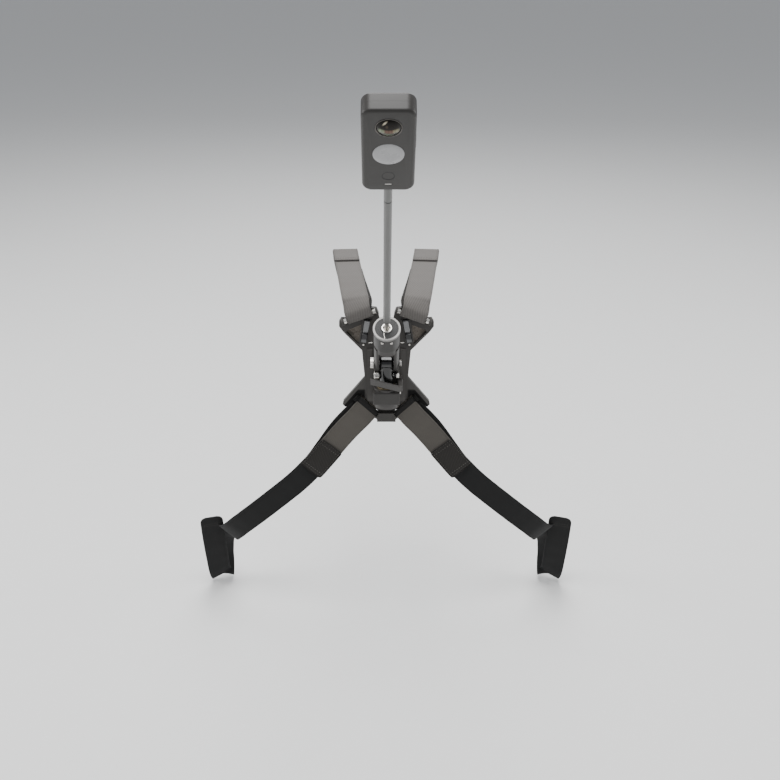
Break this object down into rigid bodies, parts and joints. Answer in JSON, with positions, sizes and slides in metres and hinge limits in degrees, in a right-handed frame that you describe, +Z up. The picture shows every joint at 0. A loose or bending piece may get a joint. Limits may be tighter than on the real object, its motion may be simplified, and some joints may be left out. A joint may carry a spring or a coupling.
{
  "type": "wearable selfie stick",
  "caption": "Back-mounted selfie stick: a pocket camera on a telescopic rod that tilts and swivels on a plastic back frame held to a backpack by four webbing straps.",
  "frame": {"origin": "centre of the flat back face of the pad that lies on the backpack", "axes": "+Z up, +Y into the backpack, -Y outwards to the viewer, +X to the viewer's right"},
  "size_m": [0.4746, 0.4926, 0.694],
  "materials": {
    "moulded_nylon": "fine moulded texture",
    "foam_pad": "matt foam",
    "bright_steel": "turned",
    "dark_steel": "black oxide",
    "grey_webbing": "fine twill",
    "elastic_webbing": "ribbed elastic",
    "hook_and_loop": "napped loop",
    "blue_grey_plastic": "polished",
    "lever_plastic": "satin",
    "gloss_black": "polished",
    "bronze_washer": "turned",
    "speckled_cap": "grained",
    "gunmetal_tube": "satin",
    "black_rubber": "matt",
    "camera_shell": "soft touch",
    "lens_glass": "coated",
    "lens_ring": "anodised",
    "lens_black": "black",
    "screen_cover": "polished",
    "circuit_board": "solder mask",
    "grille_metal": "perforated"
  },
  "bodies": {
    "frame": {"back_frame": "moulded_nylon", "back_pad": "foam_pad", "upper_strap_pins": "bright_steel", "lower_strap_pins": "dark_steel", "pad_screws": "bright_steel", "strap_upper_left": "grey_webbing", "strap_upper_right": "grey_webbing", "strap_lower_left": "elastic_webbing", "strap_lower_right": "elastic_webbing", "hook_strap_left": "hook_and_loop", "hook_strap_right": "hook_and_loop", "strap_tabs": "elastic_webbing", "release_springs": "bright_steel"},
    "release_left": {"release_button_left": "blue_grey_plastic"},
    "release_right": {"release_button_right": "blue_grey_plastic"},
    "carriage": {"base_block": "moulded_nylon", "base_cover": "moulded_nylon", "lever_pin": "bright_steel", "thrust_washer": "bronze_washer"},
    "lever": {"cam_lever": "lever_plastic"},
    "pan": {"knuckle_post": "gloss_black", "clamp_bolt": "bright_steel", "clamp_spacer": "gloss_black", "clamp_nut": "bright_steel"},
    "arm": {"fork_arm": "moulded_nylon", "handle_sleeve": "moulded_nylon", "cap_screws": "bright_steel", "end_cap": "speckled_cap", "cap_rim": "bright_steel", "tilt_axle": "bright_steel", "axle_nut": "bright_steel", "friction_washers": "gloss_black", "rod_ferrule": "bright_steel", "tube_1": "gunmetal_tube"},
    "knob": {"tilt_knob": "bright_steel"},
    "second_tube": {"tube_2": "gunmetal_tube"},
    "third_tube": {"tube_3": "gunmetal_tube"},
    "top_rod": {"rod_4": "gunmetal_tube", "head_platform": "moulded_nylon", "head_screw": "bright_steel", "head_washer": "black_rubber"},
    "camera": {"camera_front_shell": "camera_shell", "camera_rear_shell": "camera_shell", "tripod_insert": "bronze_washer", "lens_front": "lens_glass", "lens_rear": "lens_glass", "lens_bezels": "lens_ring", "lens_barrels": "lens_black", "screen_glass": "screen_cover", "display_panel": "lens_black", "main_board": "circuit_board", "battery": "lens_black", "shell_screws": "bright_steel", "microphone_grille": "grille_metal", "door_pin": "bright_steel"},
    "shutter": {"shutter_button": "camera_shell"},
    "power": {"power_button": "camera_shell"},
    "door": {"port_door": "camera_shell"}
  },
  "joints": [
    {"name": "carriage_lift", "type": "slide", "parent": "frame", "child": "carriage", "axis": [0, 0, 1], "range_m": [0, 0.04]},
    {"name": "release_left_press", "type": "slide", "parent": "frame", "child": "release_left", "axis": [0, 1, 0], "range_m": [0, 0.0012], "stiffness_N_per_m": 900, "springref_m": -0.001},
    {"name": "release_right_press", "type": "slide", "parent": "frame", "child": "release_right", "axis": [0, 1, 0], "range_m": [0, 0.0012], "stiffness_N_per_m": 900, "springref_m": -0.001},
    {"name": "lever_swing", "type": "hinge", "parent": "carriage", "child": "lever", "pos_m": [0.0157, -0.022, -0.0141], "axis": [0, 0, 1], "range_deg": [0, 90]},
    {"name": "pan_swivel", "type": "hinge", "parent": "carriage", "child": "pan", "pos_m": [0, -0.028, -0.02], "axis": [0, 0, 1], "range_deg": [-25, 25]},
    {"name": "arm_tilt", "type": "hinge", "parent": "pan", "child": "arm", "pos_m": [0, -0.028, 0.012], "axis": [1, 0, 0], "range_deg": [-40, 50]},
    {"name": "tilt_knob_turn", "type": "hinge", "parent": "arm", "child": "knob", "pos_m": [-0.0166, -0.028, 0.012], "axis": [1, 0, 0], "range_deg": [0, 270]},
    {"name": "tube_2_slide", "type": "slide", "parent": "arm", "child": "second_tube", "axis": [0, -0.6428, 0.766], "range_m": [0, 0.19]},
    {"name": "tube_3_slide", "type": "slide", "parent": "second_tube", "child": "third_tube", "axis": [0, -0.6428, 0.766], "range_m": [0, 0.19]},
    {"name": "rod_4_slide", "type": "slide", "parent": "third_tube", "child": "top_rod", "axis": [0, -0.6428, 0.766], "range_m": [0, 0.19]},
    {"name": "camera_turn", "type": "hinge", "parent": "top_rod", "child": "camera", "pos_m": [0, -0.24693, 0.27292], "axis": [0, -0.6428, 0.766], "range_deg": [-180, 180]},
    {"name": "shutter_press", "type": "slide", "parent": "camera", "child": "shutter", "axis": [0, 0.766, 0.6428], "range_m": [0, 0.0005], "stiffness_N_per_m": 1500, "springref_m": -0.0005},
    {"name": "power_press", "type": "slide", "parent": "camera", "child": "power", "axis": [-1, 0, 0], "range_m": [0, 0.0004], "stiffness_N_per_m": 1500, "springref_m": -0.0005},
    {"name": "port_door_open", "type": "hinge", "parent": "camera", "child": "door", "pos_m": [-0.0216, -0.27367, 0.30478], "axis": [0, -0.766, -0.6428], "range_deg": [0, 95]}
  ]
}
